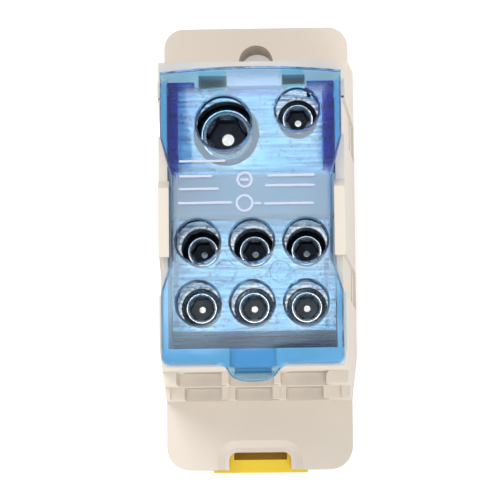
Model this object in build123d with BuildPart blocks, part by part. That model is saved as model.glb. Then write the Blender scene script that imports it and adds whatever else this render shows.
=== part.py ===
from build123d import *
import os

# Power distribution block for a 35 mm rail: one conductor block in a snap-together housing,
# with two screw clamps for the input wires, six for the output wires and a hinged clear cover.
# Origin: centre of the base's underside. +Y is the input end, -Y the output end, +Z is up.

# Output clamps: two rows of three, with the inner row's wires below the outer row's
output_count = 3
output_pitch = 8.0
drill_step = 0.1
screw_radius = 3.0
screw_hexagon = 3.0
wire_radius = 3.2
outer_row_inset = 6.4
outer_wire_drop = 9.0
outer_wire_depth = 9.8
outer_screw_sink = 0.1
outer_screw_length = 5.6
inner_row_inset = 15.6
inner_wire_lift = 5.1
inner_wire_depth = 19.4
inner_screw_sink = 6.0
inner_screw_length = 10.0

# Input clamps
large_wire_depth = 12.4
small_wire_depth = 11.6
large_input_inset = 6.65
large_screw_radius = 5.0
large_hexagon = 5.0
large_wire_radius = 4.5
large_wire_drop = 15.0
large_screw_sink = 2.3
large_screw_length = 8.0
small_input_inset = 4.7
small_input_side_inset = 5.45
small_wire_drop = 11.5
small_screw_sink = 0.1
small_screw_length = 8.0

# Screws
thread_clearance = 0.05
screw_edge = 0.6
large_screw_edge = 1.1
socket_share_of_length = 0.45
drill_share_of_hexagon = 0.36
drill_depth = 0.9

# Conductor block
block_length = 39.9
block_height = 24.5
block_edge = 4.4
block_clearance = 0.15
sawn_chamfer = 2.9
mouth_chamfer = 0.35
large_mouth_chamfer = 0.7

# Base
base_height = 9.0
base_wall = 2.0
input_flange_length = 10.15
output_flange_length = 11.0
flange_side_inset = 0.8
flange_skin = 2.4
deck_thickness = 2.5
block_lift = 1.5
input_corner_radius = 3.2
output_corner_radius = 3.7
shoulder_inset = 7.5
shoulder_length = 1.6
mounting_hole_inset = 5.6
mounting_hole_radius = 2.8
mounting_rib_wall = 1.6

# 35 mm rail recess
rail_width = 35.0
rail_clearance = 0.4
rail_seat_height = 4.0
rail_slot_height = 1.3
hook_reach = 2.2

# Rail clip and its notch
clip_width = 15.2
clip_overhang = 0.4
clip_grip_length = 3.6
clip_grip_height = 5.4
clip_plate_thickness = 2.2
clip_lift = 0.5
clip_clearance = 0.2
clip_nose_reach = 1.9
clip_nose_ramp_length = 1.7
clip_nose_ramp_height = 1.5
clip_stroke = 3.0
clip_rail_width = 1.0
clip_rail_height = 1.0
driver_slot_width = 8.6
driver_slot_length = 1.2
driver_slot_depth = 3.8
spring_leg_slot = 1.2
spring_leg_length = 9.0
spring_leg_width = 1.4
notch_width = 10.0
notch_depth = 2.85
notch_radius = 1.3
dish_margin = 1.9
dish_depth = 0.7
dish_angle = 60

# Body shell
top_wall = 1.35
shell_lean = 1.9
side_wall = 1.9
end_wall_input = 2.25
end_wall_output = 2.7
input_gap = 1.9
output_gap = 0.3
well_height = 9.0
hinge_end_rise = 1.5
output_step_depth = 1.9
upper_step_rise = 5.0
lower_step_rise = 4.4
slot_floor_drop = 0.4
lower_slot_width = 5.9
lower_slot_shift = -0.6
lower_ledge_depth = 0.6
lower_ledge_width = 1.0
lower_ledge_inset_left = 0.7
lower_ledge_inset_right = 1.8
upper_slot_width = 7.0
upper_slot_shift = -0.7
upper_slot_inset_left = 1.6
upper_slot_inset_right = 2.4
upper_slot_flare = 1.2
large_entry_radius = 5.6
small_entry_radius = 4.2
output_entry_radius = 3.4
bar_gap = 4.4
bar_width = 6.7
bar_thickness = 2.4
bar_corner = 0.8
bar_end_cut = 2.6
lip_reach = 1.1
lip_thickness = 1.4
lip_overrun = 4.2
stop_width = 8.4
stop_shift = 0.45
stop_height = 5.6
stop_rise = 1.2
stop_overlap = 0.8
stop_corner = 1.0
corner_stop_width = 4.45
corner_stop_root = 1.0
rim_height = 1.6
rim_end_gap = 0.55
rim_slope = 1.2
side_groove_depth = 0.4
side_groove_width = 6.0
input_groove_inset = 5.3
output_groove_inset = 10.8

# Snap tongues on the base, in windows of the shell
tongue_width = 5.0
tongue_thickness = 0.8
tongue_height = 8.5
tongue_nose = 0.9
tongue_nose_height = 2.0
window_clearance = 0.3

# Cover
cover_thickness = 2.0
cover_gap = 0.1
cover_side_inset = 0.35
cover_end_inset = 0.25
cover_input_arch = 0.75
cover_corner = 1.2
cover_edge_round = 0.35
waist_inset = 1.9
waist_input_overlap = 1.3
waist_output_overlap = 2.8
input_wing_slope = 5.8
output_wing_slope = 4.6
tab_half_width = 5.5
tab_reach = 2.55
tab_shoulder_x = 3.4
tab_shoulder_reach = 1.53
large_cover_hole = 4.0
small_cover_hole = 3.15

# Cover hinge and latch
hinge_inset = 5.45
hinge_drop = 2.0
peg_radius = 1.2
peg_clearance = 0.05
lug_radius = 1.9
arm_thickness = 1.5
arm_clearance = 0.15
arm_depth = 6.0
arm_overhang = 1.0
arm_length = 11.1
arm_return_reach = 4.0
waist_rib_thickness = 0.7
waist_rib_depth = 2.6
latch_width = 5.5
latch_thickness = 0.9
latch_clearance = 0.15
latch_depth = 5.2
latch_pad_width = 6.7
latch_pad_depth = 0.8
latch_pad_overlap = 0.15

os.makedirs("parts", exist_ok=True)

# Widths, from the block outwards
block_width = (output_count - 1) * output_pitch + 2 * block_edge
cavity_half_width = block_width / 2 + block_clearance
shell_top_width = 2 * (cavity_half_width + top_wall)
body_width = shell_top_width + 2 * shell_lean
flange_width = body_width - 2 * flange_side_inset
cover_wing_width = shell_top_width - 2 * cover_side_inset
cover_waist_width = shell_top_width - 2 * waist_inset

# Places along Y, from the base's ends inwards
shell_length = (
    block_length + input_gap + output_gap + end_wall_input + end_wall_output + 2 * output_step_depth
)
base_length = shell_length + input_flange_length + output_flange_length
shell_input_y = base_length / 2 - input_flange_length
shell_output_y = -base_length / 2 + output_flange_length
lower_step_y = shell_output_y + output_step_depth
shell_step_y = lower_step_y + output_step_depth
end_wall_inner_y = shell_step_y + end_wall_output
well_outer_y = shell_input_y - end_wall_input
block_output_y = end_wall_inner_y + output_gap
block_input_y = block_output_y + block_length
block_middle_y = (block_input_y + block_output_y) / 2
outer_row_y = block_output_y + outer_row_inset
inner_row_y = block_output_y + inner_row_inset
large_input_y = block_input_y - large_input_inset
small_input_y = block_input_y - small_input_inset
bar_y_low = inner_row_y + bar_gap
bar_y_high = bar_y_low + bar_width
waist_input_y = bar_y_high - waist_input_overlap
waist_output_y = inner_row_y - waist_output_overlap
groove_places = [block_input_y - input_groove_inset, block_output_y + output_groove_inset]
hinge_y = shell_input_y - hinge_inset
arm_input_y = hinge_y + arm_overhang
arm_output_y = arm_input_y - arm_length
mounting_hole_y = base_length / 2 - mounting_hole_inset
rail_half = rail_width / 2 + rail_clearance
notch_inner_y = -base_length / 2 + notch_depth
clip_outer_y = -base_length / 2 - clip_overhang
grip_inner_y = clip_outer_y + clip_grip_length + clip_clearance

# Places along X
output_columns = [(i - (output_count - 1) / 2) * output_pitch for i in range(output_count)]
large_input_x = -output_pitch / 2
small_input_x = block_width / 2 - small_input_side_inset

# Heights, from the base upwards
tray_floor = rail_seat_height + deck_thickness
tongue_top = base_height + tongue_height
block_bottom = base_height + block_lift
block_top = block_bottom + block_height
inner_wire_height = block_bottom + inner_wire_lift
outer_wire_height = block_top - outer_wire_drop
large_wire_height = block_top - large_wire_drop
small_wire_height = block_top - small_wire_drop
upper_step_top = outer_wire_height + upper_step_rise
lower_step_top = inner_wire_height + lower_step_rise
hinge_end_top = block_top + hinge_end_rise
cover_bottom = block_top + well_height
cover_top = cover_bottom + cover_thickness
shell_top = cover_bottom - cover_gap
hinge_height = cover_bottom - hinge_drop
reach = 3 * base_length


def write(part, name):
    part.label = name
    export_step(part, f"parts/{name}.step")


# Conductor block: sawn bar with wire bores from both ends and tapped holes from above
with BuildPart() as conductor_block:
    with BuildSketch(Plane.XY.offset(block_bottom)):
        with Locations((0, block_middle_y)):
            Rectangle(block_width, block_length)
    extrude(amount=block_top - block_bottom)
    sawn_edge = conductor_block.edges().filter_by(Axis.X).group_by(Axis.Z)[-1].sort_by(Axis.Y)[0]
    chamfer(sawn_edge, length=sawn_chamfer)

    with BuildSketch(Plane.XZ.offset(-block_input_y)):
        with Locations((large_input_x, large_wire_height)):
            Circle(large_wire_radius)
    extrude(amount=large_wire_depth, mode=Mode.SUBTRACT)
    with BuildSketch(Plane.XZ.offset(-block_input_y)):
        with Locations((small_input_x, small_wire_height)):
            Circle(wire_radius)
    extrude(amount=small_wire_depth, mode=Mode.SUBTRACT)

    # The output wire bores get a little shorter from column to column
    for i, x in enumerate(output_columns):
        with BuildSketch(Plane.XZ.offset(-block_output_y)):
            with Locations((x, inner_wire_height)):
                Circle(wire_radius)
        extrude(amount=-inner_wire_depth + i * drill_step, mode=Mode.SUBTRACT)
        with BuildSketch(Plane.XZ.offset(-block_output_y)):
            with Locations((x, outer_wire_height)):
                Circle(wire_radius)
        extrude(amount=-outer_wire_depth + i * drill_step, mode=Mode.SUBTRACT)

    with BuildSketch(Plane.XY.offset(block_top)):
        with Locations([(x, inner_row_y) for x in output_columns]):
            Circle(screw_radius + thread_clearance)
    extrude(amount=inner_wire_height - block_top, mode=Mode.SUBTRACT)
    with BuildSketch(Plane.XY.offset(block_top)):
        with Locations([(x, outer_row_y) for x in output_columns]):
            Circle(screw_radius + thread_clearance)
    extrude(amount=outer_wire_height - block_top, mode=Mode.SUBTRACT)
    with BuildSketch(Plane.XY.offset(block_top)):
        with Locations((large_input_x, large_input_y)):
            Circle(large_screw_radius + thread_clearance)
    extrude(amount=large_wire_height - block_top, mode=Mode.SUBTRACT)
    with BuildSketch(Plane.XY.offset(block_top)):
        with Locations((small_input_x, small_input_y)):
            Circle(screw_radius + thread_clearance)
    extrude(amount=small_wire_height - block_top, mode=Mode.SUBTRACT)

    mouths = conductor_block.edges().filter_by(GeomType.CIRCLE).group_by(Axis.Z)[-1]
    chamfer(mouths.filter_by(lambda e: e.radius > large_screw_radius), length=large_mouth_chamfer)
    mouths = conductor_block.edges().filter_by(GeomType.CIRCLE).group_by(Axis.Z)[-1]
    chamfer(mouths.filter_by(lambda e: e.radius < large_screw_radius), length=mouth_chamfer)
write(conductor_block.part, "conductor_block")


# Set screw: plain cylinder in the place of the thread, chamfered, with a drilled hexagon socket
def set_screw(name, x, y, top, radius, length, hexagon, edge):
    socket_depth = length * socket_share_of_length
    with BuildPart() as screw:
        with BuildSketch(Plane.XY.offset(top - length)):
            with Locations((x, y)):
                Circle(radius)
        extrude(amount=length)
        chamfer(screw.edges().filter_by(GeomType.CIRCLE), length=edge)
        with BuildSketch(Plane.XY.offset(top)):
            with Locations((x, y)):
                RegularPolygon(hexagon / 2, 6, major_radius=False)
        extrude(amount=-socket_depth, mode=Mode.SUBTRACT)
        with Locations((x, y, top - socket_depth)):
            Cone(0, hexagon / 2 * drill_share_of_hexagon, drill_depth,
                 align=(Align.CENTER, Align.CENTER, Align.MAX), mode=Mode.SUBTRACT)
    write(screw.part, name)


set_screw("input_screw_large", large_input_x, large_input_y, block_top - large_screw_sink,
          large_screw_radius, large_screw_length, large_hexagon, large_screw_edge)
set_screw("input_screw_small", small_input_x, small_input_y, block_top - small_screw_sink,
          screw_radius, small_screw_length, screw_hexagon, screw_edge)
for side, x in zip(["left", "centre", "right"], output_columns):
    set_screw(f"inner_output_screw_{side}", x, inner_row_y, block_top - inner_screw_sink,
              screw_radius, inner_screw_length, screw_hexagon, screw_edge)
    set_screw(f"outer_output_screw_{side}", x, outer_row_y, block_top - outer_screw_sink,
              screw_radius, outer_screw_length, screw_hexagon, screw_edge)


# Half width of the shell's slanted outer side at a height
def shell_half_width(z):
    share = (z - base_height) / (shell_top - base_height)
    return (body_width + (shell_top_width - body_width) * share) / 2


# Outline of the shell at one height, from the input end round to the output end
def shell_outline(width, inset):
    end_width = width - 2 * flange_side_inset
    Polygon(
        (-width / 2 + inset, shell_input_y - inset),
        (-width / 2 + inset, end_wall_inner_y),
        (-end_width / 2 + inset, shell_output_y + inset),
        (end_width / 2 - inset, shell_output_y + inset),
        (width / 2 - inset, end_wall_inner_y),
        (width / 2 - inset, shell_input_y - inset),
        align=None,
    )


# Body shell
with BuildPart() as body_shell:
    with BuildSketch(Plane.XY.offset(base_height)):
        shell_outline(body_width, 0)
    with BuildSketch(Plane.XY.offset(shell_top)):
        shell_outline(shell_top_width, 0)
    loft(ruled=True)

    # Two steps down at the output end, one at the hinge end
    with BuildSketch(Plane.XY.offset(upper_step_top)):
        with Locations((0, shell_step_y)):
            Rectangle(reach, reach, align=(Align.CENTER, Align.MAX))
    extrude(amount=shell_top - upper_step_top, mode=Mode.SUBTRACT)
    with BuildSketch(Plane.XY.offset(lower_step_top)):
        with Locations((0, lower_step_y)):
            Rectangle(reach, reach, align=(Align.CENTER, Align.MAX))
    extrude(amount=shell_top - lower_step_top, mode=Mode.SUBTRACT)
    with BuildSketch(Plane.XY.offset(hinge_end_top)):
        with Locations((0, hinge_y)):
            Rectangle(reach, reach, align=(Align.CENTER, Align.MIN))
    extrude(amount=shell_top - hinge_end_top, mode=Mode.SUBTRACT)

    # Room for the block, widening downwards beside it, and open above
    with BuildSketch(Plane.XY.offset(base_height)):
        with Locations((0, (well_outer_y + end_wall_inner_y) / 2)):
            Rectangle(body_width - 2 * side_wall, well_outer_y - end_wall_inner_y)
    with BuildSketch(Plane.XY.offset(block_top)):
        with Locations((0, (well_outer_y + end_wall_inner_y) / 2)):
            Rectangle(2 * cavity_half_width, well_outer_y - end_wall_inner_y)
    loft(ruled=True, mode=Mode.SUBTRACT)
    with BuildSketch(Plane.XY.offset(block_top)):
        with Locations((0, (well_outer_y + end_wall_inner_y) / 2)):
            Rectangle(2 * cavity_half_width, well_outer_y - end_wall_inner_y)
    extrude(amount=shell_top - block_top, mode=Mode.SUBTRACT)

    # Bar across the block, with lips along its sides towards the output end
    with BuildSketch(Plane.XY.offset(block_top)):
        with Locations((0, (bar_y_low + bar_y_high) / 2)):
            Rectangle(2 * cavity_half_width, bar_y_high - bar_y_low)
    extrude(amount=bar_thickness)
    lip_end_y = inner_row_y - lip_overrun
    bar_edges = body_shell.edges().filter_by(Axis.X).filter_by_position(
        Axis.Z, block_top + bar_thickness, block_top + bar_thickness
    )
    fillet(bar_edges, radius=bar_corner)
    with BuildSketch(Plane.XY.offset(block_top)):
        Polygon(
            (-cavity_half_width, bar_y_high),
            (-cavity_half_width, bar_y_high - bar_end_cut),
            (-cavity_half_width + bar_end_cut, bar_y_high),
            align=None,
        )
    extrude(amount=bar_thickness, mode=Mode.SUBTRACT)
    with BuildSketch(Plane.XY.offset(block_top)):
        for side in (-1, 1):
            with Locations((side * (cavity_half_width - lip_reach / 2), bar_y_low / 2 + lip_end_y / 2)):
                Rectangle(lip_reach, bar_y_low - lip_end_y)
    extrude(amount=lip_thickness)

    # Stops for the block along the input end wall: a raised one in the middle and one in each corner
    stop_length = well_outer_y - block_input_y - block_clearance / 2
    with BuildSketch(Plane.XY.offset(hinge_end_top - stop_height)):
        with Locations((stop_shift, well_outer_y + stop_overlap)):
            Rectangle(stop_width, stop_length + stop_overlap, align=(Align.CENTER, Align.MAX))
        fillet(vertices().group_by(Axis.Y)[-1], radius=stop_corner)
    extrude(amount=stop_height + stop_rise)
    with BuildSketch(Plane.XY.offset(hinge_end_top - stop_height)):
        for side in (-1, 1):
            with Locations((side * (cavity_half_width - corner_stop_width), well_outer_y)):
                Rectangle(corner_stop_width + corner_stop_root, stop_length,
                          align=(Align.MIN if side > 0 else Align.MAX, Align.MAX))
    extrude(amount=stop_height)

    # Hinge lugs and the holes for the pegs
    lug_inner = cavity_half_width
    lug_outer = shell_half_width(hinge_height)
    with BuildSketch(Plane.YZ.offset(lug_inner)):
        with Locations((hinge_y, hinge_height)):
            Circle(lug_radius)
    extrude(amount=lug_outer - lug_inner)
    with BuildSketch(Plane.YZ.offset(-lug_outer)):
        with Locations((hinge_y, hinge_height)):
            Circle(lug_radius)
    extrude(amount=lug_outer - lug_inner)
    with BuildSketch(Plane.YZ):
        with Locations((hinge_y, hinge_height)):
            Circle(peg_radius + peg_clearance)
    extrude(amount=reach, both=True, mode=Mode.SUBTRACT)

    # Raised rims beside the waist of the cover, sloped at the input side
    rim_inner = cover_waist_width / 2 + 2 * arm_clearance
    for side in (-1, 1):
        with BuildSketch(Plane.YZ.offset(side * rim_inner)):
            Polygon(
                (waist_output_y + rim_end_gap, shell_top),
                (waist_output_y + rim_end_gap, shell_top + rim_height),
                (waist_input_y - rim_end_gap - rim_slope, shell_top + rim_height),
                (waist_input_y - rim_end_gap, shell_top),
                align=None,
            )
        extrude(amount=side * (shell_half_width(shell_top) - rim_inner))

    # Wire entries through the end walls
    with BuildSketch(Plane.XZ.offset(-shell_input_y)):
        with Locations((large_input_x, large_wire_height)):
            Circle(large_entry_radius)
        with Locations((small_input_x, small_wire_height)):
            Circle(small_entry_radius)
    extrude(amount=end_wall_input, mode=Mode.SUBTRACT)
    with BuildSketch(Plane.XZ.offset(-shell_output_y)):
        with Locations([(x, inner_wire_height) for x in output_columns]):
            Circle(output_entry_radius)
        with Locations([(x, outer_wire_height) for x in output_columns]):
            Circle(output_entry_radius)
    extrude(amount=shell_output_y - end_wall_inner_y, mode=Mode.SUBTRACT)

    # Open slots in the two steps, so that each wire can be laid in from above
    lower_floor = inner_wire_height - output_entry_radius - slot_floor_drop
    upper_floor = outer_wire_height - output_entry_radius - slot_floor_drop
    with BuildSketch(Plane.XY.offset(lower_floor)):
        with Locations([(x + lower_slot_shift, lower_step_y) for x in output_columns]):
            Rectangle(lower_slot_width, output_step_depth, align=(Align.CENTER, Align.MAX))
    extrude(amount=lower_step_top - lower_floor, mode=Mode.SUBTRACT)
    upper_left = -block_width / 2 + upper_slot_inset_left - upper_slot_flare
    upper_right = block_width / 2 - upper_slot_inset_right + upper_slot_flare
    with BuildSketch(Plane.XY.offset(upper_floor)):
        with Locations([(x + upper_slot_shift, shell_step_y) for x in output_columns]):
            Rectangle(upper_slot_width, output_step_depth, align=(Align.CENTER, Align.MAX))
        Polygon(
            (output_columns[0], shell_step_y),
            (upper_left, shell_step_y),
            (upper_left + upper_slot_flare, lower_step_y),
            (output_columns[0], lower_step_y),
            align=None,
        )
        Polygon(
            (output_columns[-1], shell_step_y),
            (upper_right, shell_step_y),
            (upper_right - upper_slot_flare, lower_step_y),
            (output_columns[-1], lower_step_y),
            align=None,
        )
    extrude(amount=upper_step_top - upper_floor, mode=Mode.SUBTRACT)

    # Shallow ledges beside the lower slots
    slot_left = lower_slot_shift - lower_slot_width / 2
    ledges = [(x + slot_left - lower_ledge_width, x) for x in output_columns]
    ledges.append((-flange_width / 2 + shell_lean - lower_ledge_inset_left, output_columns[0]))
    ledges.append((output_columns[-1], flange_width / 2 - lower_ledge_inset_right))
    with BuildSketch(Plane.XY.offset(lower_step_top)):
        for low_x, high_x in ledges:
            with Locations(((low_x + high_x) / 2, lower_step_y)):
                Rectangle(high_x - low_x, output_step_depth, align=(Align.CENTER, Align.MAX))
    extrude(amount=-lower_ledge_depth, mode=Mode.SUBTRACT)

    # Seat for the pad of the cover's latch, in the top of the output wall
    with BuildSketch(Plane.XY.offset(shell_top)):
        with Locations((0, end_wall_inner_y)):
            Rectangle(latch_pad_width + 2 * latch_clearance, end_wall_output, align=(Align.CENTER, Align.MAX))
    extrude(amount=-latch_pad_depth, mode=Mode.SUBTRACT)

    # Shallow grooves down the sides, and the windows of the snap tongues in them
    for groove_y in groove_places:
        for side in (-1, 1):
            with BuildSketch(Plane.XY.offset(base_height)):
                with Locations((side * (shell_half_width(base_height) - side_groove_depth), groove_y)):
                    Rectangle(2 * side_groove_depth, side_groove_width,
                              align=(Align.MIN if side > 0 else Align.MAX, Align.CENTER))
            with BuildSketch(Plane.XY.offset(shell_top)):
                with Locations((side * (shell_half_width(shell_top) - side_groove_depth), groove_y)):
                    Rectangle(2 * side_groove_depth, side_groove_width,
                              align=(Align.MIN if side > 0 else Align.MAX, Align.CENTER))
            loft(ruled=True, mode=Mode.SUBTRACT)
        window_low = tongue_top - tongue_nose_height - window_clearance
        with BuildSketch(Plane.YZ):
            with Locations((groove_y, window_low)):
                Rectangle(tongue_width + 2 * window_clearance, tongue_nose_height + 2 * window_clearance,
                          align=(Align.CENTER, Align.MIN))
        extrude(amount=reach, both=True, mode=Mode.SUBTRACT)
write(body_shell.part, "body_shell")


# Outline of the base: narrower flanges at both ends of a wide middle
def base_outline():
    half = base_length / 2
    with BuildLine() as outline:
        Polyline(
            (0, half),
            (flange_width / 2, half),
            (flange_width / 2, half - shoulder_inset + shoulder_length),
            (body_width / 2, half - shoulder_inset),
            (body_width / 2, end_wall_inner_y),
            (flange_width / 2, shell_output_y),
            (flange_width / 2, -half),
            (0, -half),
        )
        mirror(about=Plane.YZ)
    make_face(outline.edges())


# Base
with BuildPart() as base:
    with BuildSketch():
        base_outline()
    extrude(amount=base_height)
    corners = base.edges().filter_by(Axis.Z)
    fillet(corners.group_by(Axis.Y)[-1], radius=input_corner_radius)
    corners = base.edges().filter_by(Axis.Z)
    fillet(corners.group_by(Axis.Y)[0], radius=output_corner_radius)

    # Rail recess, and the slot of the fixed hook at the input side
    with BuildSketch():
        with Locations((0, -rail_half)):
            Rectangle(reach, 2 * rail_half - hook_reach, align=(Align.CENTER, Align.MIN))
    extrude(amount=rail_seat_height, mode=Mode.SUBTRACT)
    with BuildSketch(Plane.XY.offset(rail_seat_height - rail_slot_height)):
        Rectangle(reach, 2 * rail_half)
    extrude(amount=rail_slot_height, mode=Mode.SUBTRACT)

    # Tray above the deck, below the shell
    with BuildSketch(Plane.XY.offset(tray_floor)):
        with Locations((0, (well_outer_y + end_wall_inner_y) / 2)):
            Rectangle(body_width - 2 * side_wall, well_outer_y - end_wall_inner_y)
    extrude(amount=base_height - tray_floor, mode=Mode.SUBTRACT)

    # Two ribs under the conductor block
    with BuildSketch(Plane.XY.offset(tray_floor)):
        for y in (block_output_y + block_length / 4, block_input_y - block_length / 4):
            with Locations((0, y)):
                Rectangle(block_width, base_wall)
    extrude(amount=block_bottom - tray_floor)

    # Two hollows under the input flange, and the mounting hole in the rib between them
    hollow_width = flange_width / 2 - base_wall - mounting_hole_radius - mounting_rib_wall
    hollow_length = base_length / 2 - base_wall - well_outer_y - base_wall
    for side in (-1, 1):
        with BuildSketch():
            with Locations((side * (flange_width / 2 - base_wall - hollow_width / 2), well_outer_y + base_wall)):
                Rectangle(hollow_width, hollow_length, align=(Align.CENTER, Align.MIN))
        extrude(amount=base_height - flange_skin, mode=Mode.SUBTRACT)
    with Locations((0, mounting_hole_y, base_height)):
        Hole(radius=mounting_hole_radius, depth=base_height)

    # Channel of the rail clip, higher over its grip, with a groove in each side
    channel_half = clip_width / 2 + clip_clearance
    channel_top = clip_lift + clip_grip_height + clip_clearance
    with BuildSketch():
        with Locations((0, -rail_half)):
            Rectangle(2 * channel_half, reach, align=(Align.CENTER, Align.MAX))
    extrude(amount=clip_lift + clip_plate_thickness + clip_clearance, mode=Mode.SUBTRACT)
    with BuildSketch():
        with Locations((0, grip_inner_y)):
            Rectangle(2 * channel_half, reach, align=(Align.CENTER, Align.MAX))
    extrude(amount=channel_top, mode=Mode.SUBTRACT)
    groove_low = clip_lift + (clip_plate_thickness - clip_rail_height) / 2 - clip_clearance
    with BuildSketch(Plane.XY.offset(groove_low)):
        with Locations((0, -rail_half)):
            Rectangle(2 * (channel_half + clip_rail_width), -rail_half - grip_inner_y,
                      align=(Align.CENTER, Align.MAX))
    extrude(amount=clip_rail_height + 2 * clip_clearance, mode=Mode.SUBTRACT)

    # Notch over the clip, in a shallow dish
    with BuildSketch(Plane.XY.offset(channel_top)):
        with Locations((0, notch_inner_y)):
            Rectangle(notch_width, reach, align=(Align.CENTER, Align.MAX))
        notch_corners = vertices().group_by(Axis.Y)[-1]
        fillet(notch_corners, radius=notch_radius)
    extrude(amount=base_height - channel_top, mode=Mode.SUBTRACT)
    with BuildSketch(Plane.XY.offset(base_height)):
        with Locations((0, notch_inner_y + dish_margin)):
            Rectangle(notch_width + 2 * dish_margin, reach, align=(Align.CENTER, Align.MAX))
        dish_corners = vertices().group_by(Axis.Y)[-1]
        fillet(dish_corners, radius=notch_radius + dish_margin)
    extrude(amount=-dish_depth, taper=dish_angle, mode=Mode.SUBTRACT)

    # Snap tongues, standing just inside the shell's walls
    for groove_y in groove_places:
        for side in (-1, 1):
            tongue_x = side * cavity_half_width
            with BuildSketch(Plane.XZ.offset(-groove_y)):
                Polygon(
                    (tongue_x, tray_floor),
                    (tongue_x, tongue_top),
                    (tongue_x + side * tongue_thickness, tongue_top),
                    (tongue_x + side * (tongue_thickness + tongue_nose), tongue_top - tongue_nose_height),
                    (tongue_x + side * tongue_thickness, tongue_top - tongue_nose_height),
                    (tongue_x + side * tongue_thickness, tray_floor),
                    align=None,
                )
            extrude(amount=tongue_width / 2, both=True)
write(base.part, "base")


# Rail clip: grip, sliding plate with guide rails, nose under the rail and two spring legs
with BuildPart() as rail_clip:
    nose_tip_y = -rail_width / 2 + clip_nose_reach
    with BuildSketch(Plane.XY.offset(clip_lift)):
        with Locations((0, clip_outer_y)):
            Rectangle(clip_width, nose_tip_y - clip_outer_y, align=(Align.CENTER, Align.MIN))
    extrude(amount=clip_plate_thickness)
    with BuildSketch(Plane.XY.offset(clip_lift)):
        with Locations((0, clip_outer_y)):
            Rectangle(clip_width, clip_grip_length, align=(Align.CENTER, Align.MIN))
    extrude(amount=clip_grip_height)
    with BuildSketch(Plane.XY.offset(clip_lift + (clip_plate_thickness - clip_rail_height) / 2)):
        with Locations((0, -rail_half - clip_stroke / 2)):
            Rectangle(clip_width + 2 * (clip_rail_width - clip_clearance),
                      -rail_half - grip_inner_y - clip_stroke * 1.5 - clip_clearance,
                      align=(Align.CENTER, Align.MAX))
    extrude(amount=clip_rail_height)
    nose_edge = rail_clip.edges().filter_by(Axis.X).group_by(Axis.Y)[-1].sort_by(Axis.Z)[0]
    chamfer(nose_edge, length=clip_nose_ramp_length, length2=clip_nose_ramp_height)

    # Slot for a screwdriver
    with BuildSketch(Plane.XY.offset(clip_lift + clip_grip_height)):
        with Locations((0, notch_inner_y - driver_slot_length / 2)):
            Rectangle(driver_slot_width, driver_slot_length)
    extrude(amount=-driver_slot_depth, mode=Mode.SUBTRACT)

    # Slots that leave a spring leg at each side of the middle
    for side in (-1, 1):
        with BuildSketch(Plane.XY.offset(clip_lift)):
            with Locations((side * clip_width / 4, grip_inner_y)):
                Rectangle(2 * spring_leg_slot + spring_leg_width, spring_leg_length,
                          align=(Align.CENTER, Align.MIN))
            with Locations((side * clip_width / 4, grip_inner_y)):
                Rectangle(spring_leg_width, spring_leg_length - spring_leg_slot,
                          align=(Align.CENTER, Align.MIN), mode=Mode.SUBTRACT)
        extrude(amount=clip_plate_thickness, mode=Mode.SUBTRACT)
write(rail_clip.part, "rail_clip")


# Outline of the cover: two wings, a waist, an arched input edge and a finger tab
def cover_outline():
    wing = cover_wing_width / 2
    waist = cover_waist_width / 2
    output_y = shell_step_y + cover_end_inset
    side_y = well_outer_y - cover_input_arch
    with BuildLine() as outline:
        right = Polyline(
            (wing, side_y),
            (wing, waist_input_y + input_wing_slope),
            (waist, waist_input_y),
            (waist, waist_output_y),
            (wing, waist_output_y - output_wing_slope),
            (wing, output_y),
            (tab_half_width, output_y),
        )
        left = Polyline(
            (-wing, side_y),
            (-wing, waist_input_y + input_wing_slope),
            (-waist, waist_input_y),
            (-waist, waist_output_y),
            (-wing, waist_output_y - output_wing_slope),
            (-wing, output_y),
            (-tab_half_width, output_y),
        )
        ThreePointArc(right @ 0, (0, well_outer_y), left @ 0)
        Spline(
            right @ 1,
            (tab_shoulder_x, output_y - tab_shoulder_reach),
            (0, output_y - tab_reach),
            (-tab_shoulder_x, output_y - tab_shoulder_reach),
            left @ 1,
            tangents=((-1, 0), (-1, 0)),
        )
    make_face(outline.edges())


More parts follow.
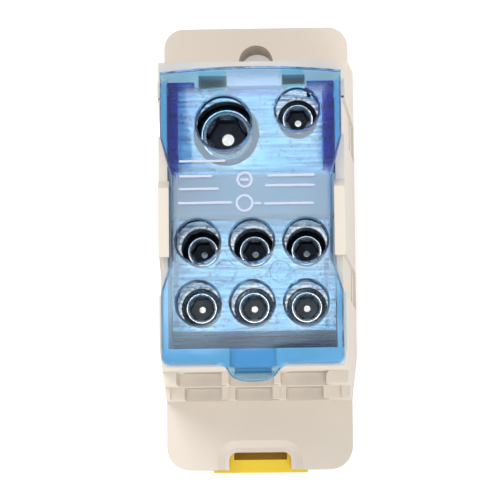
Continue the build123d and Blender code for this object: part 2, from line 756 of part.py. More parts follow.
# Cover
with BuildPart() as cover:
    with BuildSketch(Plane.XY.offset(cover_bottom)):
        cover_outline()
    extrude(amount=cover_thickness)
    output_corners = cover.edges().filter_by(Axis.Z).group_by(Axis.Y)[0]
    fillet(output_corners.filter_by(lambda e: abs(e.center().X) > cover_waist_width / 2), radius=cover_corner)
    fillet(cover.faces().sort_by(Axis.Z)[-1].outer_wire().edges(), radius=cover_edge_round)

    # Holes above the screws
    with BuildSketch(Plane.XY.offset(cover_top)):
        with Locations((large_input_x, large_input_y)):
            Circle(large_cover_hole)
        with Locations((small_input_x, small_input_y)):
            Circle(small_cover_hole)
        for row_y in (inner_row_y, outer_row_y):
            with Locations([(x, row_y) for x in output_columns]):
                Circle(small_cover_hole)
    extrude(amount=-cover_thickness, mode=Mode.SUBTRACT)

    # Hinge arms with their inward returns and pegs, and the thin ribs along the waist
    arm_outer = cavity_half_width - arm_clearance
    arm_low = cover_bottom - arm_depth
    for side in (-1, 1):
        with BuildSketch(Plane.XY.offset(arm_low)):
            with Locations((side * (arm_outer - arm_thickness / 2), (arm_input_y + arm_output_y) / 2)):
                Rectangle(arm_thickness, arm_input_y - arm_output_y)
            with Locations((side * (arm_outer - arm_return_reach / 2), arm_input_y - arm_thickness / 2)):
                Rectangle(arm_return_reach, arm_thickness)
        extrude(amount=arm_depth)
        with BuildSketch(Plane.YZ.offset(side * (arm_outer - arm_thickness / 2))):
            with Locations((hinge_y, hinge_height)):
                Circle(peg_radius)
        peg_end = shell_half_width(hinge_height) - peg_clearance
        extrude(amount=side * (peg_end - arm_outer + arm_thickness / 2))
        with BuildSketch(Plane.XY.offset(cover_bottom - waist_rib_depth)):
            waist_rib_x = side * (cover_waist_width / 2 - waist_rib_thickness / 2)
            with Locations((waist_rib_x, (arm_output_y + waist_output_y) / 2)):
                Rectangle(waist_rib_thickness, arm_output_y - waist_output_y)
        extrude(amount=waist_rib_depth)

    # Latch tongue outside the output wall, with a pad behind it
    latch_inner_y = shell_step_y - latch_clearance
    with BuildSketch(Plane.XY.offset(cover_bottom - latch_depth)):
        with Locations((0, latch_inner_y)):
            Rectangle(latch_width, latch_thickness, align=(Align.CENTER, Align.MAX))
    extrude(amount=latch_depth)
    with BuildSketch(Plane.XY.offset(cover_bottom)):
        with Locations((0, latch_inner_y)):
            Rectangle(latch_pad_width, end_wall_inner_y + latch_pad_overlap - latch_inner_y,
                      align=(Align.CENTER, Align.MIN))
    extrude(amount=-latch_pad_depth)
write(cover.part, "cover")
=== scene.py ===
import bpy, bmesh, math
from mathutils import Matrix, Vector


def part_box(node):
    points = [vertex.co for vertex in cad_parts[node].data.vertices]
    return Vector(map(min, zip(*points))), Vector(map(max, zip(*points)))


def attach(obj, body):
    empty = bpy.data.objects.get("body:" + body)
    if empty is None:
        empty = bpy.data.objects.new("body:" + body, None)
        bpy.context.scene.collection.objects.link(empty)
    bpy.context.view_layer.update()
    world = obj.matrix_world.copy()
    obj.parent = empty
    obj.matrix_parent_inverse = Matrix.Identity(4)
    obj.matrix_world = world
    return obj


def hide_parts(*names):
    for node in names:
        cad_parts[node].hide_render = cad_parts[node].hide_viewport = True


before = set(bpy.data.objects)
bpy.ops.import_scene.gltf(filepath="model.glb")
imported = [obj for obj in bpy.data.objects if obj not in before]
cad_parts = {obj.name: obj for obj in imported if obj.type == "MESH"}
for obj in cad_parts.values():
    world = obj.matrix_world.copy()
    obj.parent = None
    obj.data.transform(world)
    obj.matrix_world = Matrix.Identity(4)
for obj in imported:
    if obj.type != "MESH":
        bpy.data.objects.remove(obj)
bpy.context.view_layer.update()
mm = 0.001
tiny = 1e-7  # heights and distances closer than this are the same
print("frame loaded")


# Camera, nearly straight down, a little from the output end and from the right; lengths in millimetres
cameraSet = {
    "lens": 187.2,
    "sensor": 36.0,
    "target": (-0.92, -1.69, 22.0),
    "distance": 409.1,
    "nearest": 10.0,
    "leanRight": 1.57,
    "leanFront": 5.56,
    "roll": -0.60,
}


def makeCamera(values):
    right, front, roll = (math.radians(values[k]) for k in ("leanRight", "leanFront", "roll"))
    back = Vector((math.sin(right), -math.sin(front) * math.cos(right), math.cos(front) * math.cos(right)))
    side = Vector((0, 1, 0)).cross(back).normalized()
    up = back.cross(side)
    turned = side * math.cos(roll) + up * math.sin(roll)
    upright = up * math.cos(roll) - side * math.sin(roll)
    place = (Vector(values["target"]) + back * values["distance"]) * mm
    data = bpy.data.cameras.new("camera")
    data.lens = values["lens"]
    data.sensor_width = values["sensor"]
    data.clip_start = values["nearest"] * mm
    camera = bpy.data.objects.new("camera", data)
    camera.matrix_world = Matrix.Translation(place) @ Matrix((turned, upright, back)).transposed().to_4x4()
    bpy.context.scene.collection.objects.link(camera)
    bpy.context.scene.camera = camera


makeCamera(cameraSet)
print("camera made")


# Node helpers
def setInputs(tree, node, inputs):
    for name, value in inputs.items():
        if isinstance(value, bpy.types.NodeSocket):
            tree.links.new(value, node.inputs[name])
        else:
            node.inputs[name].default_value = value


def addNode(tree, kind, inputs=None, **settings):
    node = tree.nodes.new(kind)
    for name, value in settings.items():
        setattr(node, name, value)
    setInputs(tree, node, inputs or {})
    return node


def mathNode(tree, operation, first, second=0.0, clamp=False):
    node = addNode(tree, "ShaderNodeMath", {0: first, 1: second}, operation=operation, use_clamp=clamp)
    return node.outputs[0]


def vectorNode(tree, operation, first, second=(0.0, 0.0, 0.0)):
    return addNode(tree, "ShaderNodeVectorMath", {0: first, 1: second}, operation=operation).outputs[0]


def levelDistance(tree, flat, x, y):
    node = addNode(tree, "ShaderNodeVectorMath", {0: flat, 1: (x, y, 0.0)}, operation="DISTANCE")
    return node.outputs["Value"]


def noiseNode(tree, vector, scale, detail, roughness=0.5):
    return addNode(tree, "ShaderNodeTexNoise", {
        "Vector": vector, "Scale": scale, "Detail": detail, "Roughness": roughness}).outputs["Fac"]


def rampNode(tree, value, places, results, shape="SMOOTHSTEP"):
    return addNode(tree, "ShaderNodeMapRange", {
        "Value": value, "From Min": places[0], "From Max": places[1],
        "To Min": results[0], "To Max": results[1]}, interpolation_type=shape).outputs[0]


def mixColors(tree, share, first, second):
    return addNode(tree, "ShaderNodeMix", {"Factor": share, 6: first, 7: second}, data_type="RGBA").outputs[2]


def newGroup(name, inputs, outputs):
    tree = bpy.data.node_groups.new(name, "ShaderNodeTree")
    for label, kind, value in inputs:
        socket = tree.interface.new_socket(label, in_out="INPUT", socket_type=kind)
        socket.default_value = value
    for label, kind in outputs:
        tree.interface.new_socket(label, in_out="OUTPUT", socket_type=kind)
    return tree, tree.nodes.new("NodeGroupInput").outputs, tree.nodes.new("NodeGroupOutput").inputs


def useGroup(tree, group, inputs):
    node = tree.nodes.new("ShaderNodeGroup")
    node.node_tree = group
    setInputs(tree, node, inputs)
    return node.outputs


def newMaterial(name):
    material = bpy.data.materials.new(name)
    material.use_nodes = True
    material.node_tree.nodes.clear()
    tree = material.node_tree
    output = tree.nodes.new("ShaderNodeOutputMaterial")
    coords = tree.nodes.new("ShaderNodeTexCoord").outputs["Object"]
    return material, tree, output, coords


# a colour as a picture program gives it, made linear
def rgb(red, green, blue):
    shares = [c / 255 for c in (red, green, blue)]
    return tuple(((c + 0.055) / 1.055) ** 2.4 if c > 0.04045 else c / 12.92 for c in shares) + (1.0,)


# Effects that several materials share
mouldedGrain = {"cloudScale": 160.0, "grainScale": 5200.0, "roughnessSpread": 0.12, "depth": 0.02 * mm}


def makeMouldedGroup(values):
    tree, given, out = newGroup(
        "mouldedPlastic",
        [("Vector", "NodeSocketVector", (0, 0, 0)), ("Color", "NodeSocketColor", (1, 1, 1, 1)),
         ("Mottle", "NodeSocketFloat", 0.03), ("Roughness", "NodeSocketFloat", 0.45)],
        [("Color", "NodeSocketColor"), ("Roughness", "NodeSocketFloat"), ("Height", "NodeSocketFloat")])
    cloud = noiseNode(tree, given["Vector"], values["cloudScale"], 3.0)
    grain = noiseNode(tree, given["Vector"], values["grainScale"], 2.0)
    centred = mathNode(tree, "SUBTRACT", cloud, 0.5)
    shade = mathNode(tree, "ADD", mathNode(tree, "MULTIPLY", centred, given["Mottle"]), 1.0)
    tint = addNode(tree, "ShaderNodeVectorMath", {0: given["Color"], "Scale": shade}, operation="SCALE")
    tree.links.new(tint.outputs[0], out["Color"])
    spread = mathNode(tree, "MULTIPLY", mathNode(tree, "SUBTRACT", grain, 0.5), values["roughnessSpread"])
    tree.links.new(mathNode(tree, "ADD", given["Roughness"], spread), out["Roughness"])
    tree.links.new(grain, out["Height"])
    return tree


# lines run along X; only noise above a level darkens the metal
metalGrain = {
    "lineStretch": (120.0, 2600.0, 900.0), "lineLevel": 0.42, "lineHeight": 0.5,
    "speckScale": 1900.0, "speckLevel": 0.5, "contrast": 3.0, "roughnessSpread": 0.5,
}


def makeMetalGroup(values):
    tree, given, out = newGroup(
        "workedMetal",
        [("Vector", "NodeSocketVector", (0, 0, 0)), ("Color", "NodeSocketColor", (1, 1, 1, 1)),
         ("Dark", "NodeSocketColor", (0, 0, 0, 1)), ("Streak", "NodeSocketFloat", 0.3),
         ("Speck", "NodeSocketFloat", 0.3), ("Roughness", "NodeSocketFloat", 0.3)],
        [("Color", "NodeSocketColor"), ("Roughness", "NodeSocketFloat"), ("Height", "NodeSocketFloat")])
    stretched = addNode(tree, "ShaderNodeMapping", {
        "Vector": given["Vector"], "Scale": values["lineStretch"]}).outputs[0]
    lines = noiseNode(tree, stretched, 1.0, 4.0)
    specks = noiseNode(tree, given["Vector"], values["speckScale"], 5.0, 0.7)
    lineShare = mathNode(tree, "MULTIPLY", mathNode(tree, "SUBTRACT", lines, values["lineLevel"], True),
                         given["Streak"])
    speckShare = mathNode(tree, "MULTIPLY", mathNode(tree, "SUBTRACT", specks, values["speckLevel"], True),
                          given["Speck"])
    darkness = mathNode(tree, "MULTIPLY", mathNode(tree, "ADD", lineShare, speckShare),
                        values["contrast"], True)
    tree.links.new(mixColors(tree, darkness, given["Color"], given["Dark"]), out["Color"])
    spread = mathNode(tree, "MULTIPLY", mathNode(tree, "SUBTRACT", specks, 0.5), values["roughnessSpread"])
    tree.links.new(mathNode(tree, "ADD", given["Roughness"], spread, True), out["Roughness"])
    height = mathNode(tree, "ADD", mathNode(tree, "MULTIPLY", lines, values["lineHeight"]), specks)
    tree.links.new(height, out["Height"])
    return tree


mouldedPlastic = makeMouldedGroup(mouldedGrain)
workedMetal = makeMetalGroup(metalGrain)


# Housing and clip plastics
def makePlastic(name, values):
    material, tree, output, coords = newMaterial(name)
    look = useGroup(tree, mouldedPlastic, {
        "Vector": coords, "Color": values["color"], "Mottle": values["mottle"],
        "Roughness": values["roughness"]})
    bump = addNode(tree, "ShaderNodeBump", {
        "Height": look["Height"], "Strength": values["grain"], "Distance": mouldedGrain["depth"]})
    shader = addNode(tree, "ShaderNodeBsdfPrincipled", {
        "Base Color": look["Color"], "Roughness": look["Roughness"], "Normal": bump.outputs[0],
        "IOR": 1.5, "Specular IOR Level": values["gloss"]})
    tree.links.new(shader.outputs[0], output.inputs["Surface"])
    return material


housingPlastic = makePlastic("housingPlastic", {
    "color": rgb(221, 211, 198), "mottle": 0.05, "roughness": 0.48, "grain": 0.25, "gloss": 0.4})
clipPlastic = makePlastic("clipPlastic", {
    "color": rgb(235, 203, 45), "mottle": 0.05, "roughness": 0.42, "grain": 0.2, "gloss": 0.45})


# Clear blue cover, which dims what is below by its thickness, and in places by painted light and shade
smallHole = 3.15 * mm
clearBlue = {
    "absorb": (0.18, 0.70, 0.92),
    "density": 500.0,
    # the edge colour is painted shade: dark blue at the outline and round the holes
    "edge": (0.06, 0.17, 0.36),
    "edgeWidth": 0.36 * mm,
    "holes": [("input_screw_large", 4.0 * mm), ("input_screw_small", smallHole)] + [
        (f"{row}_output_screw_{side}", smallHole)
        for row in ("inner", "outer") for side in ("left", "centre", "right")],
    "wing": 13.55 * mm, "waist": 12.0 * mm,
    "waistInput": (7.2 * mm, 13.0 * mm), "waistOutput": (-10.0 * mm, -5.4 * mm),
    "inputEnd": 23.6 * mm, "inputArch": 0.75 * mm, "outputEnd": -20.95 * mm, "tabHalf": 5.5 * mm,
    "surface": (0.78, 0.88, 0.94),
    "shade": (0.60, 0.78, 0.92),
    "roughness": 0.03,
    "rippleScale": 90.0, "rippleStrength": 0.15, "rippleDepth": 0.3 * mm,
    "ejectorMarks": [(-3.9 * mm, -7.1 * mm), (4.2 * mm, -7.2 * mm)],
    "ejectorRadius": 1.6 * mm, "ejectorEdge": 0.1 * mm, "ejectorHeight": 0.6,
    "fieldSoftness": (0.1, 0.05),
    # level fields of another tint, in millimetres; except over the arms, they paint light and shade onto what
    # lies below
    "fields": [
        # painted light over the middle stop: the cover is clearer and lilac there, so the stop below looks
        # brighter and paler
        {"centre": (0.65, 21.05), "half": (4.1, 2.05), "corner": 0.8,
         "tint": (0.94, 0.84, 0.98), "shade": (0.9, 0.8, 1.0)},
        # painted shade over the wells left and right of it: the cover is darker and bluer there
        {"centre": (-5.7, 21.4), "half": (2.1, 1.6), "corner": 0.2,
         "tint": (0.45, 0.80, 0.92), "shade": (0.25, 0.5, 0.8)},
        {"centre": (6.3, 21.5), "half": (1.6, 1.7), "corner": 0.2,
         "tint": (0.45, 0.80, 0.92), "shade": (0.25, 0.5, 0.8)},
        # painted shade over the bar of the housing, which lies in shade under the cover: the cover is darker
        # there
        {"centre": (0.0, 3.9), "half": (11.5, 3.45), "corner": 0.9,
         "tint": (0.66, 0.60, 0.62), "shade": (0.42, 0.38, 0.40)},
        # painted shade over the rails along the output screws
        {"centre": (-11.25, -6.9), "half": (0.38, 8.3), "corner": 0.1,
         "tint": (0.62, 0.64, 0.72), "shade": (0.5, 0.5, 0.6)},
        {"centre": (10.95, -7.2), "half": (0.33, 8.2), "corner": 0.1,
         "tint": (0.62, 0.64, 0.72), "shade": (0.5, 0.5, 0.6)},
        # deep blue over the arms
        {"centre": (-11.6, 14.45), "half": (0.8, 6.7), "corner": 0.2,
         "tint": (0.09, 0.22, 0.66), "shade": (0.2, 0.4, 0.8)},
        {"centre": (11.5, 14.3), "half": (0.85, 6.5), "corner": 0.2,
         "tint": (0.09, 0.22, 0.66), "shade": (0.2, 0.4, 0.8)},
    ],
}


# 1 inside a level rounded rectangle, falling to 0 across its outline
def levelField(tree, flat, field, softness):
    corner = field["corner"]
    centre = tuple(v * mm for v in field["centre"]) + (0.0,)
    inner = tuple((v - corner) * mm for v in field["half"]) + (1.0,)
    away = vectorNode(tree, "ABSOLUTE", vectorNode(tree, "SUBTRACT", flat, centre))
    away = vectorNode(tree, "MAXIMUM", vectorNode(tree, "SUBTRACT", away, inner))
    away = addNode(tree, "ShaderNodeVectorMath", {0: away}, operation="LENGTH").outputs["Value"]
    return rampNode(tree, away, ((corner - softness[0]) * mm, (corner + softness[1]) * mm), (1.0, 0.0))


# 1 at the cover's outline and round its holes, falling to 0 over the edge width; it places the painted shade
# at the edges and rounds them by bump
def coverEdgeMask(tree, coords, flat, values):
    split = addNode(tree, "ShaderNodeSeparateXYZ", {0: coords}).outputs
    side = mathNode(tree, "ABSOLUTE", split["X"])
    inputHalf = rampNode(tree, split["Y"], values["waistInput"], (values["waist"], values["wing"]),
                         "LINEAR")
    outputHalf = rampNode(tree, split["Y"], values["waistOutput"], (values["wing"], values["waist"]),
                          "LINEAR")
    inside = mathNode(tree, "SUBTRACT", mathNode(tree, "MAXIMUM", inputHalf, outputHalf), side)
    arch = mathNode(tree, "POWER", mathNode(tree, "DIVIDE", side, values["wing"]), 2.0)
    inputEdge = mathNode(tree, "SUBTRACT", values["inputEnd"],
                         mathNode(tree, "MULTIPLY", arch, values["inputArch"]))
    inside = mathNode(tree, "MINIMUM", inside, mathNode(tree, "SUBTRACT", inputEdge, split["Y"]))
    outputSide = mathNode(tree, "MAXIMUM", mathNode(tree, "SUBTRACT", split["Y"], values["outputEnd"]),
                          mathNode(tree, "SUBTRACT", values["tabHalf"], side))
    inside = mathNode(tree, "MINIMUM", inside, outputSide)
    for nodeName, radius in values["holes"]:
        low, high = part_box(nodeName)
        away = levelDistance(tree, flat, (low[0] + high[0]) / 2, (low[1] + high[1]) / 2)
        inside = mathNode(tree, "MINIMUM", inside, mathNode(tree, "SUBTRACT", away, radius))
    return rampNode(tree, inside, (0.0, values["edgeWidth"]), (1.0, 0.0))


def makeClearPlastic(name, values):
    material, tree, output, coords = newMaterial(name)
    height = noiseNode(tree, coords, values["rippleScale"], 1.0)
    flat = vectorNode(tree, "MULTIPLY", coords, (1, 1, 0))
    for x, y in values["ejectorMarks"]:
        places = (values["ejectorRadius"] - values["ejectorEdge"], values["ejectorRadius"])
        disc = rampNode(tree, levelDistance(tree, flat, x, y), places, (values["ejectorHeight"], 0.0))
        height = mathNode(tree, "ADD", height, disc)
    ripple = addNode(tree, "ShaderNodeBump", {
        "Height": height, "Strength": values["rippleStrength"], "Distance": values["rippleDepth"]})
    edges = coverEdgeMask(tree, coords, flat, values)
    rounding = addNode(tree, "ShaderNodeBump", {
        "Height": mathNode(tree, "SUBTRACT", 1.0, edges), "Distance": values["edgeWidth"],
        "Normal": ripple.outputs[0]})
    tint, shade = values["surface"] + (1.0,), values["shade"] + (1.0,)
    for field in values["fields"]:
        mask = levelField(tree, flat, field, values["fieldSoftness"])
        tint = mixColors(tree, mask, tint, field["tint"] + (1.0,))
        shade = mixColors(tree, mask, shade, field["shade"] + (1.0,))
    # painted shade: the outline and the hole rims are tinted dark blue, in place of the dark reflections in
    # the cover's walls
    tint = mixColors(tree, edges, tint, values["edge"] + (1.0,))
    shader = addNode(tree, "ShaderNodeBsdfPrincipled", {
        "Base Color": tint, "Roughness": values["roughness"], "IOR": 1.5,
        "Transmission Weight": 1.0, "Normal": rounding.outputs[0]})

    # light from the lamps goes straight through, tinted by the shade
    passing = addNode(tree, "ShaderNodeBsdfTransparent", {"Color": shade})
    path = tree.nodes.new("ShaderNodeLightPath")
    mix = addNode(tree, "ShaderNodeMixShader", {
        0: path.outputs["Is Shadow Ray"], 1: shader.outputs[0], 2: passing.outputs[0]})
    inside = addNode(tree, "ShaderNodeVolumeAbsorption", {
        "Color": values["absorb"] + (1.0,), "Density": values["density"]})
    tree.links.new(mix.outputs[0], output.inputs["Surface"])
    tree.links.new(inside.outputs[0], output.inputs["Volume"])
    return material


coverPlastic = makeClearPlastic("coverPlastic", clearBlue)


# Plated block with a bare sawn slope at the output end; a face counts as a wall where its normal's Z is
# under wallBelow, as level where it is over levelAbove, and as a bevel between the two
tinPlate = {
    "color": rgb(234, 237, 240), "dark": rgb(92, 104, 122), "streak": 0.9, "speck": 1.3, "roughness": 0.22,
    # the sawn slope's colour is partly the bare metal's own tone and partly painted shade, darker and bluer
    # than the plating
    "sawnAndShadeColor": rgb(92, 140, 176), "sawnDark": rgb(10, 16, 34), "sawnStreak": 1.6, "sawnSpeck": 0.8,
    "sawnRoughness": 0.5, "sawnEdge": -15.35 * mm,
    "grainStrength": 0.7, "grainDepth": 0.1 * mm,
    "threadPitch": 1.0 * mm, "threadHeight": 0.25 * mm, "threadFrom": 29.3 * mm,
    "wallBelow": 0.3, "levelAbove": 0.95, "bevelWear": 0.85,
}


def makeTinPlate(name, values):
    material, tree, output, coords = newMaterial(name)
    plated = useGroup(tree, workedMetal, {
        "Vector": coords, "Color": values["color"], "Dark": values["dark"], "Streak": values["streak"],
        "Speck": values["speck"], "Roughness": values["roughness"]})
    sawn = useGroup(tree, workedMetal, {
        "Vector": coords, "Color": values["sawnAndShadeColor"], "Dark": values["sawnDark"],
        "Streak": values["sawnStreak"], "Speck": values["sawnSpeck"], "Roughness": values["sawnRoughness"]})
    place = addNode(tree, "ShaderNodeSeparateXYZ", {0: coords}).outputs
    onSawn = mathNode(tree, "LESS_THAN", place["Y"], values["sawnEdge"])
    # the sawn slope's colour holds painted shade as well as the bare metal's tone
    color = mixColors(tree, onSawn, plated["Color"], sawn["Color"])
    rough = addNode(tree, "ShaderNodeMix", {"Factor": onSawn, 2: plated["Roughness"], 3: sawn["Roughness"]})
    bump = addNode(tree, "ShaderNodeBump", {
        "Height": plated["Height"], "Strength": values["grainStrength"], "Distance": values["grainDepth"]})

    # thread turns on the walls of the screw holes, above the wire bores; the wave repeats every tau / 20
    turns = addNode(tree, "ShaderNodeTexWave", {
        "Vector": coords, "Scale": math.tau / 20 / values["threadPitch"]},
        wave_type="BANDS", bands_direction="Z").outputs["Fac"]
    normal = addNode(tree, "ShaderNodeTexCoord").outputs["Normal"]
    upward = mathNode(tree, "ABSOLUTE", addNode(tree, "ShaderNodeSeparateXYZ", {0: normal}).outputs["Z"])
    onWall = mathNode(tree, "MULTIPLY", mathNode(tree, "LESS_THAN", upward, values["wallBelow"]),
                      mathNode(tree, "GREATER_THAN", place["Z"], values["threadFrom"]))
    thread = addNode(tree, "ShaderNodeBump", {
        "Height": mathNode(tree, "MULTIPLY", turns, onWall), "Distance": values["threadHeight"],
        "Normal": bump.outputs[0]})

    # the bevels at the mouths are worn round, so they shine as the top does
    onBevel = mathNode(tree, "MULTIPLY", mathNode(tree, "GREATER_THAN", upward, values["wallBelow"]),
                       mathNode(tree, "LESS_THAN", upward, values["levelAbove"]))
    onBevel = mathNode(tree, "MULTIPLY", onBevel,
                       mathNode(tree, "SUBTRACT", values["bevelWear"], onSawn, True))
    worn = addNode(tree, "ShaderNodeMix", {"Factor": onBevel, 4: thread.outputs[0], 5: (0.0, 0.0, 1.0)},
                   data_type="VECTOR").outputs[1]
    worn = addNode(tree, "ShaderNodeVectorMath", {0: worn}, operation="NORMALIZE").outputs[0]
    shader = addNode(tree, "ShaderNodeBsdfPrincipled", {
        "Base Color": color, "Roughness": rough.outputs[0], "Metallic": 1.0, "Normal": worn})
    tree.links.new(shader.outputs[0], output.inputs["Surface"])
    return material


platedBlock = makeTinPlate("platedBlock", tinPlate)


# Steels of the screws
steelGrain = {"streak": 0.2, "strength": 0.3, "depth": 0.03 * mm}


def makeSteel(name, values):
    material, tree, output, coords = newMaterial(name)
    look = useGroup(tree, workedMetal, {
        "Vector": coords, "Color": values["color"], "Dark": values["dark"], "Streak": steelGrain["streak"],
        "Speck": values["speck"], "Roughness": values["roughness"]})
    bump = addNode(tree, "ShaderNodeBump", {
        "Height": look["Height"], "Strength": steelGrain["strength"], "Distance": steelGrain["depth"]})
    shader = addNode(tree, "ShaderNodeBsdfPrincipled", {
        "Base Color": look["Color"], "Roughness": look["Roughness"], "Metallic": 1.0,
        "Normal": bump.outputs[0]})
    tree.links.new(shader.outputs[0], output.inputs["Surface"])
    return material


screwDark = makeSteel("screwDark", {
    "color": rgb(46, 48, 54), "dark": rgb(24, 26, 30), "speck": 0.5, "roughness": 0.34})
screwBright = makeSteel("screwBright", {
    "color": rgb(226, 228, 230), "dark": rgb(150, 152, 156), "speck": 0.2, "roughness": 0.2})
screwGrey = makeSteel("screwGrey", {
    "color": rgb(118, 126, 132), "dark": rgb(60, 62, 68), "speck": 0.4, "roughness": 0.28})
socketFloor = makeSteel("socketFloor", {
    "color": rgb(88, 85, 83), "dark": rgb(44, 42, 44), "speck": 0.5, "roughness": 0.4})
socketSpot = makeSteel("socketSpot", {
    "color": rgb(240, 234, 224), "dark": rgb(150, 144, 138), "speck": 0.5, "roughness": 0.3})

cadMaterials = {
    "base": housingPlastic, "body_shell": housingPlastic, "rail_clip": clipPlastic,
    "cover": coverPlastic, "conductor_block": platedBlock,
}
for nodeName, material in cadMaterials.items():
    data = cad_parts[nodeName].data
    data.materials.clear()
    data.materials.append(material)
print("materials made")


# New pieces
def finishPiece(name, bm, materials, body, sharpFrom=30.0):
    bmesh.ops.recalc_face_normals(bm, faces=bm.faces)
    for edge in bm.edges:
        edge.smooth = edge.calc_face_angle(0.0) < math.radians(sharpFrom)
    for face in bm.faces:
        face.smooth = True
    data = bpy.data.meshes.new(name)
    bm.to_mesh(data)
    bm.free()
    for material in materials:
        data.materials.append(material)
    piece = bpy.data.objects.new(name, data)
    bpy.context.scene.collection.objects.link(piece)
    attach(piece, body)
    return piece


# the edges of an unclosed rim at one height
def openLoop(bm, height):
    return [e for e in bm.edges if len(e.link_faces) < 2
            and all(abs(v.co.z - height) < tiny for v in e.verts)]


def vertsOf(geometry):
    return [g for g in geometry if isinstance(g, bmesh.types.BMVert)]


# Set screws: a body with thread rings and a hexagon socket, and a drilled spot at the socket's bottom.
# Lengths in millimetres; the shares are of the screw's length or radius.
smallScrew = {
    "landOuter": 2.26, "landInner": 2.14, "stepOuter": 2.06, "stepInner": 1.94, "stepHeight": 0.1,
    "edgeHeight": 0.5, "hexagon": 3.0, "sinkHeight": 0.4, "socketShare": 0.5, "floorDish": 0.12,
    "spotRadius": 0.5, "spotDepth": 0.35, "pitch": 1.0, "threadDepth": 0.28, "bottomShare": 0.75,
    "steps": 48, "landShadeFrom": None,
}
largeScrew = {
    "landOuter": 3.88, "landInner": 3.72, "stepOuter": 3.62, "stepInner": 3.2, "stepHeight": 0.2,
    "edgeHeight": 0.9, "hexagon": 5.0, "sinkHeight": 0.8, "socketShare": 0.62, "floorDish": 0.12,
    "spotRadius": 0.95, "spotDepth": 0.5, "pitch": 1.5, "threadDepth": 0.4, "bottomShare": 0.75,
    "steps": 60, "landShadeFrom": 0.2,
}


def screwProfile(size, radius, top, bottom, bottomShare):
    stepZ = top - size["stepHeight"]
    profile = [(size["stepInner"], stepZ), (size["stepOuter"], stepZ),
               (size["landInner"], top), (size["landOuter"], top)]
    height = top - size["edgeHeight"]
    while height - size["pitch"] > bottom + size["edgeHeight"]:
        profile += [(radius, height), (radius - size["threadDepth"], height - size["pitch"] / 2)]
        height -= size["pitch"]
    return profile + [(radius, height), (radius, bottom + size["edgeHeight"]),
                      (radius * bottomShare, bottom), (0.0, bottom)]


def makeSetScrew(nodeName, values):
    low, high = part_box(nodeName)
    centre = Vector(((low[0] + high[0]) / 2, (low[1] + high[1]) / 2, 0.0))
    radius = (high[0] - low[0]) / 2
    top, bottom = high[2], low[2]
    size = {k: v * mm for k, v in values.items() if v is not None}

    bm = bmesh.new()
    profile = screwProfile(size, radius, top, bottom, values["bottomShare"])
    points = [bm.verts.new(centre + Vector((r, 0, z))) for r, z in profile]
    rim = [bm.edges.new(pair) for pair in zip(points, points[1:])]
    bmesh.ops.spin(bm, geom=points + rim, cent=centre, axis=(0, 0, 1), angle=math.tau,
                   steps=values["steps"], use_merge=True)
    bmesh.ops.remove_doubles(bm, verts=bm.verts, dist=tiny)

    # cone down to the hexagon, the hexagon's walls, its floor and the drilled spot
    stepZ, sinkZ = top - size["stepHeight"], top - size["sinkHeight"]
    turned = Matrix.Translation(centre + Vector((0, 0, sinkZ))) @ Matrix.Rotation(math.pi / 6, 4, "Z")
    hexagon = bmesh.ops.create_circle(bm, segments=6, radius=size["hexagon"] / math.sqrt(3), matrix=turned)
    sides = list({e for v in hexagon["verts"] for e in v.link_edges})
    bmesh.ops.subdivide_edges(bm, edges=sides, cuts=values["steps"] // 6 - 1)
    bmesh.ops.bridge_loops(bm, edges=openLoop(bm, stepZ) + openLoop(bm, sinkZ))
    floorZ = top - (top - bottom) * values["socketShare"]
    wall = bmesh.ops.extrude_edge_only(bm, edges=openLoop(bm, sinkZ))["geom"]
    bmesh.ops.translate(bm, vec=(0, 0, floorZ - sinkZ), verts=vertsOf(wall))
    spotTop = floorZ - size["floorDish"]
    bmesh.ops.create_circle(bm, segments=values["steps"], radius=size["spotRadius"],
                            matrix=Matrix.Translation(centre + Vector((0, 0, spotTop))))
    bmesh.ops.bridge_loops(bm, edges=openLoop(bm, floorZ) + openLoop(bm, spotTop))
    spot = bmesh.ops.extrude_edge_only(bm, edges=openLoop(bm, spotTop))["geom"]
    bmesh.ops.translate(bm, vec=(0, 0, -size["spotDepth"]), verts=vertsOf(spot))
    spotZ = spotTop - size["spotDepth"]
    bmesh.ops.holes_fill(bm, edges=openLoop(bm, spotZ), sides=0)

    # the turned land is bright, and on the large screw painted grey on its right, towards the output end, as
    # painted shade; the step and the cone are grey; the outer slope is grey on the outer row and dark
    # elsewhere, as painted shade; the bottom of the spot is pale, or grey as painted shade on the deep inner
    # screws
    dark, bright, grey, floor, pale = range(5)
    # painted shade: the outer slope is grey on the outer row and dark on the other screws, and the spot is
    # grey on the deep inner screws
    slopeFace = grey if "outer" in nodeName else dark
    spotFace = grey if "inner" in nodeName else pale
    landShadeFrom = values["landShadeFrom"]
    for face in bm.faces:
        heights = [v.co.z for v in face.verts]
        side = face.calc_center_median() - centre
        away = side.xy.length
        if min(heights) > top - tiny:
            # painted shade: the land's right side, towards the output end, is grey instead of bright
            landInShade = landShadeFrom is not None and side.x - side.y > landShadeFrom * radius
            face.material_index = grey if landInShade else bright
        elif away > size["landOuter"] and min(heights) > top - size["edgeHeight"] - tiny:
            face.material_index = slopeFace
        elif away < tiny and max(heights) < spotZ + tiny:
            face.material_index = spotFace
        elif away < size["landInner"] and min(heights) > sinkZ - tiny:
            face.material_index = grey
        elif away < size["hexagon"] / 2 and abs(max(heights) - floorZ) < tiny:
            face.material_index = floor
        else:
            face.material_index = dark
    # painted shade: the socket floor is the lighter steel on the outer row and the dark steel on the other
    # screws
    floorSteel = socketFloor if "outer" in nodeName else screwDark
    steels = [screwDark, screwBright, screwGrey, floorSteel, socketSpot]
    piece = finishPiece(nodeName + "_look", bm, steels, nodeName)
    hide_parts(nodeName)


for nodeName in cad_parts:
    if "screw" in nodeName:
        makeSetScrew(nodeName, largeScrew if "large" in nodeName else smallScrew)
print("screws made")


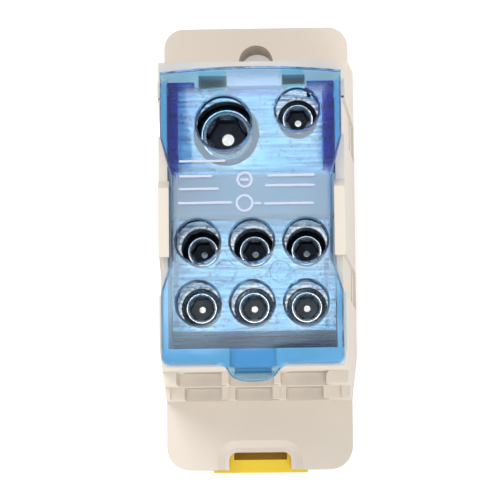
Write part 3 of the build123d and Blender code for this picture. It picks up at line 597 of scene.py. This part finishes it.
# Plain bars and rings printed on the cover, in millimetres: bars by left, right and Y, rings by X, Y and
# radius
coverMarks = {
    "top": 46.006, "thickness": 0.05, "stroke": 0.34, "endShare": 0.8, "endSteps": 4, "ringSteps": 40,
    "bars": [(-10.7, -5.8, 7.1), (-10.7, -4.8, 5.2), (-10.9, -2.9, 3.1), (2.4, 9.5, 7.1), (2.1, 9.5, 5.6),
             (1.9, 9.3, 2.9), (-10.7, -3.8, 9.35), (-1.6, -0.3, 6.5), (0.4, 1.5, 2.95)],
    "rings": [(-0.95, 6.5, 1.05), (-1.0, 3.0, 1.15)],
}
markPaint = makePlastic("markPaint", {
    "color": rgb(196, 204, 228), "mottle": 0.03, "roughness": 0.45, "grain": 0.15, "gloss": 0.4})


def makeCoverMarks(values):
    bm = bmesh.new()
    half = values["stroke"] / 2
    for left, right, y in values["bars"]:
        place = Matrix.Translation(((left + right) / 2, y, values["top"])) @ Matrix.Diagonal(
            ((right - left) / 2, half, 1.0, 1.0))
        plate = bmesh.ops.create_grid(bm, x_segments=1, y_segments=1, size=1.0, matrix=place)["verts"]
        bmesh.ops.bevel(bm, geom=plate, offset=half * values["endShare"], segments=values["endSteps"],
                        profile=0.5, affect="VERTICES", material=-1)
    for x, y, radius in values["rings"]:
        place = Matrix.Translation((x, y, values["top"]))
        for edge in (radius - half, radius + half):
            bmesh.ops.create_circle(bm, segments=values["ringSteps"], radius=edge, matrix=place)
        bmesh.ops.bridge_loops(bm, edges=[e for e in bm.edges if not e.link_faces])
    below = bmesh.ops.extrude_face_region(bm, geom=bm.faces[:])["geom"]
    bmesh.ops.translate(bm, vec=(0, 0, -values["thickness"]), verts=vertsOf(below))
    bmesh.ops.scale(bm, vec=(mm, mm, mm), verts=bm.verts)
    finishPiece("cover_marks", bm, [markPaint], "cover")


makeCoverMarks(coverMarks)
print("cover marks made")


# Floor, lamps and surroundings, in metres
stageSet = {
    "floorSize": 3.0,
    "floorColor": (0.93, 0.93, 0.93, 1.0),
    "floorRoughness": 0.8,
    "floorGlow": 0.35,
    "sky": 0.6,
    "lamps": [
        {"name": "mainLamp", "place": (-0.46, 0.55, 0.75), "size": 0.6, "power": 5.2},
        {"name": "fillLamp", "place": (0.14, -0.62, 0.75), "size": 0.7, "power": 4.2},
    ],
    # small soft lamps straight above, which the cover's flat top mirrors
    "coverLamps": [
        {"name": "coverLampInput", "place": (-0.0229, 0.1377, 0.896), "size": (0.069, 0.0432),
         "power": 0.047},
        {"name": "coverLampStop", "place": (-0.0207, 0.1629, 0.896), "size": (0.0265, 0.0071),
         "power": 0.003},
        {"name": "coverLampOutput", "place": (-0.0229, 0.07805, 0.896), "size": (0.0839, 0.0763),
         "power": 0.101},
        {"name": "coverLampSawn", "place": (-0.0229, 0.0361, 0.896), "size": (0.0839, 0.0076),
         "power": 0.0045},
    ],
}


# 1 where the eye, a mirror or clear plastic shows the surroundings, 0 where they only give light
def seenDirectly(tree):
    path = tree.nodes.new("ShaderNodeLightPath")
    seen = mathNode(tree, "MAXIMUM", path.outputs["Is Camera Ray"], path.outputs["Is Glossy Ray"])
    return mathNode(tree, "MAXIMUM", seen, path.outputs["Is Transmission Ray"])


def makeFloor(values):
    bm = bmesh.new()
    bmesh.ops.create_grid(bm, x_segments=1, y_segments=1, size=values["floorSize"] / 2)
    data = bpy.data.meshes.new("floor")
    bm.to_mesh(data)
    bm.free()
    floor = bpy.data.objects.new("floor", data)
    bpy.context.scene.collection.objects.link(floor)
    material, tree, output, _ = newMaterial("floorPaint")
    shader = addNode(tree, "ShaderNodeBsdfPrincipled", {
        "Base Color": values["floorColor"], "Roughness": values["floorRoughness"],
        "Emission Color": (1, 1, 1, 1)})
    glow = mathNode(tree, "MULTIPLY", seenDirectly(tree), values["floorGlow"])
    tree.links.new(glow, shader.inputs["Emission Strength"])
    tree.links.new(shader.outputs[0], output.inputs["Surface"])
    data.materials.append(material)


def makeSky(values):
    world = bpy.data.worlds.new("studio")
    world.use_nodes = True
    bpy.context.scene.world = world
    tree = world.node_tree
    tree.nodes.clear()
    strength = addNode(tree, "ShaderNodeMix", {"Factor": seenDirectly(tree), 2: values["sky"], 3: 1.0})
    background = addNode(tree, "ShaderNodeBackground", {
        "Color": (1, 1, 1, 1), "Strength": strength.outputs[0]})
    output = tree.nodes.new("ShaderNodeOutputWorld")
    tree.links.new(background.outputs[0], output.inputs["Surface"])


def addLamp(lamp):
    light = bpy.data.lights.new(lamp["name"], "AREA")
    light.energy = lamp["power"]
    holder = bpy.data.objects.new(lamp["name"], light)
    holder.location = lamp["place"]
    bpy.context.scene.collection.objects.link(holder)
    return light, holder


def makeLamps(values):
    for lamp in values["lamps"]:
        light, holder = addLamp(lamp)
        light.size = lamp["size"]
        holder.rotation_mode = "QUATERNION"
        holder.rotation_quaternion = (-Vector(lamp["place"])).to_track_quat("-Z", "Y")
    for lamp in values["coverLamps"]:
        light, _ = addLamp(lamp)
        light.shape = "RECTANGLE"
        light.size, light.size_y = lamp["size"]


makeFloor(stageSet)
makeSky(stageSet)
makeLamps(stageSet)
bpy.context.scene.view_settings.view_transform = "Standard"
print("stage made")
